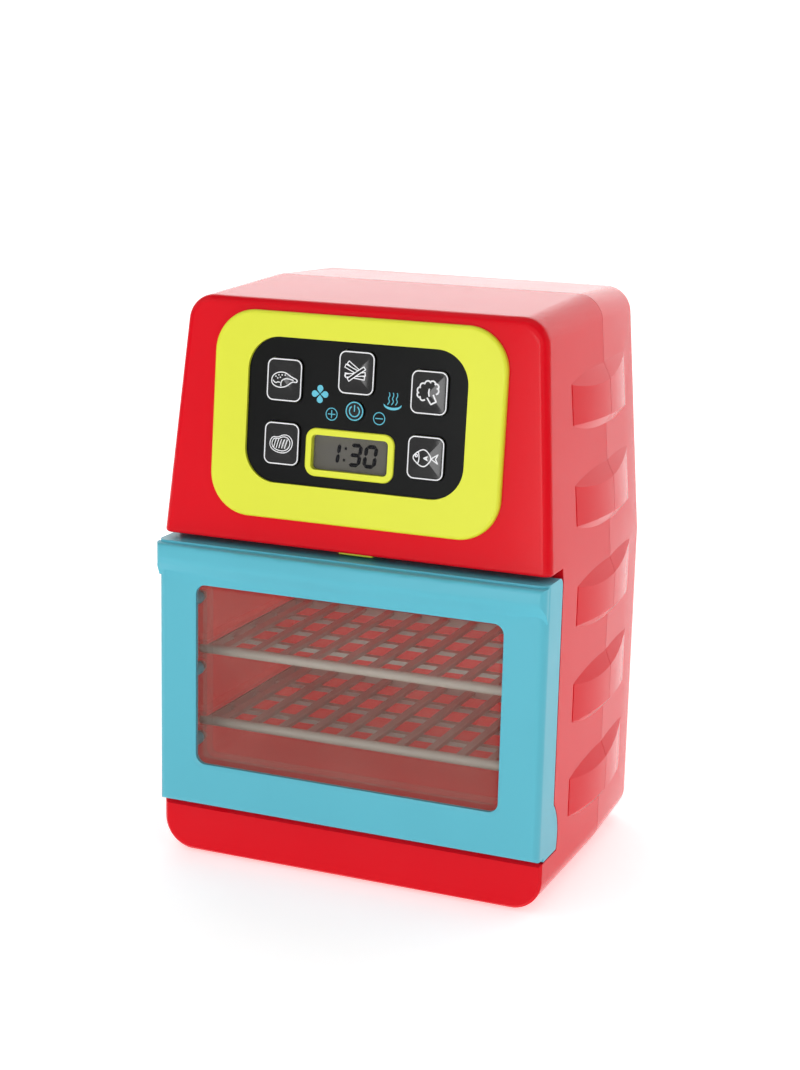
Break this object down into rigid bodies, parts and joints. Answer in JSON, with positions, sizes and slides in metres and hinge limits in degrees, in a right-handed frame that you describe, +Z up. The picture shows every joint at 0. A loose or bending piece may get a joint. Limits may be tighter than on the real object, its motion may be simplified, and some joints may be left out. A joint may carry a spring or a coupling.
{
  "type": "toy air fryer",
  "caption": "Toy air fryer with a drop-down windowed door, sliding racks, push keys and a display in a leaning head.",
  "frame": {"origin": "on the floor, under the middle of the bounding box", "axes": "+Z up, front (door and keys) towards -Y, +X to the right seen from the front"},
  "size_m": [0.1428, 0.1099, 0.195],
  "materials": {
    "red_gloss": "glossy red moulded plastic",
    "red_tub": "satin red moulded plastic",
    "turquoise_plastic": "satin turquoise moulded plastic",
    "lime_plastic": "satin lime moulded plastic",
    "black_gloss": "satin black plastic",
    "black_matte": "matt black plastic",
    "smoked_clear": "smoke-tinted clear plastic",
    "clear_lens": "clear plastic",
    "display_grey": "grey display",
    "board_green": "green circuit board",
    "mat_rubber": "grey keypad rubber",
    "contact_metal": "plated contacts",
    "cell_jacket": "dark battery jacket",
    "speaker_black": "black loudspeaker",
    "rack_grey": "pale grey moulded plastic",
    "zinc_screw": "zinc-plated screws",
    "pin_steel": "steel pins"
  },
  "bodies": {
    "casing": {"front_shell": "red_gloss", "rear_shell": "red_gloss", "case_screws": "zinc_screw", "oven_liner": "red_tub", "liner_screws": "zinc_screw", "door_catch": "lime_plastic", "control_bezel": "lime_plastic", "panel_plate": "black_gloss", "display_lens": "clear_lens", "display_module": "display_grey", "main_board": "board_green", "board_screws": "zinc_screw", "keypad_mat": "mat_rubber", "battery_contacts": "contact_metal", "speaker": "speaker_black", "switch_body": "black_matte", "battery_1": "cell_jacket", "battery_2": "cell_jacket", "battery_3": "cell_jacket"},
    "door": {"door_frame": "turquoise_plastic", "door_window": "smoked_clear", "window_screws": "zinc_screw", "hinge_pin_left": "pin_steel", "hinge_pin_right": "pin_steel"},
    "upper_rack": {"upper_rack": "rack_grey"},
    "lower_rack": {"lower_rack": "rack_grey"},
    "power_button": {"power_button": "black_gloss"},
    "switch_knob": {"switch_knob": "black_matte"},
    "battery_cover": {"battery_cover": "red_gloss", "cover_screw": "zinc_screw"},
    "poultry_key": {"poultry_key": "black_gloss"},
    "sticks_key": {"sticks_key": "black_gloss"},
    "greens_key": {"greens_key": "black_gloss"},
    "potato_key": {"potato_key": "black_gloss"},
    "fish_key": {"fish_key": "black_gloss"}
  },
  "joints": [
    {"name": "door_hinge", "type": "hinge", "parent": "casing", "child": "door", "pos_m": [0, -0.0468, 0.0233], "axis": [1, 0, 0], "range_deg": [0, 90]},
    {"name": "upper_rack_slide", "type": "slide", "parent": "casing", "child": "upper_rack", "axis": [0, -1, 0], "range_m": [0, 0.0597]},
    {"name": "lower_rack_slide", "type": "slide", "parent": "casing", "child": "lower_rack", "axis": [0, -1, 0], "range_m": [0, 0.03771]},
    {"name": "poultry_key_press", "type": "slide", "parent": "casing", "child": "poultry_key", "axis": [0, 0.9966, -0.0821], "range_m": [0, 0.001], "stiffness_N_per_m": 400},
    {"name": "sticks_key_press", "type": "slide", "parent": "casing", "child": "sticks_key", "axis": [0, 0.9966, -0.0821], "range_m": [0, 0.001], "stiffness_N_per_m": 400},
    {"name": "greens_key_press", "type": "slide", "parent": "casing", "child": "greens_key", "axis": [0, 0.9966, -0.0821], "range_m": [0, 0.001], "stiffness_N_per_m": 400},
    {"name": "potato_key_press", "type": "slide", "parent": "casing", "child": "potato_key", "axis": [0, 0.9966, -0.0821], "range_m": [0, 0.001], "stiffness_N_per_m": 400},
    {"name": "fish_key_press", "type": "slide", "parent": "casing", "child": "fish_key", "axis": [0, 0.9966, -0.0821], "range_m": [0, 0.001], "stiffness_N_per_m": 400},
    {"name": "power_button_press", "type": "slide", "parent": "casing", "child": "power_button", "axis": [0, 0.9966, -0.0821], "range_m": [0, 0.001], "stiffness_N_per_m": 400},
    {"name": "power_switch_slide", "type": "slide", "parent": "casing", "child": "switch_knob", "axis": [1, 0, 0], "range_m": [0, 0.003]},
    {"name": "battery_cover_lift", "type": "slide", "parent": "casing", "child": "battery_cover", "axis": [0, 1, 0], "range_m": [0, 0.03]}
  ],
  "couplings": [
    {"joint": "upper_rack_slide", "follows": "door_hinge", "m_per_rad": 0.038},
    {"joint": "lower_rack_slide", "follows": "door_hinge", "m_per_rad": 0.024}
  ]
}
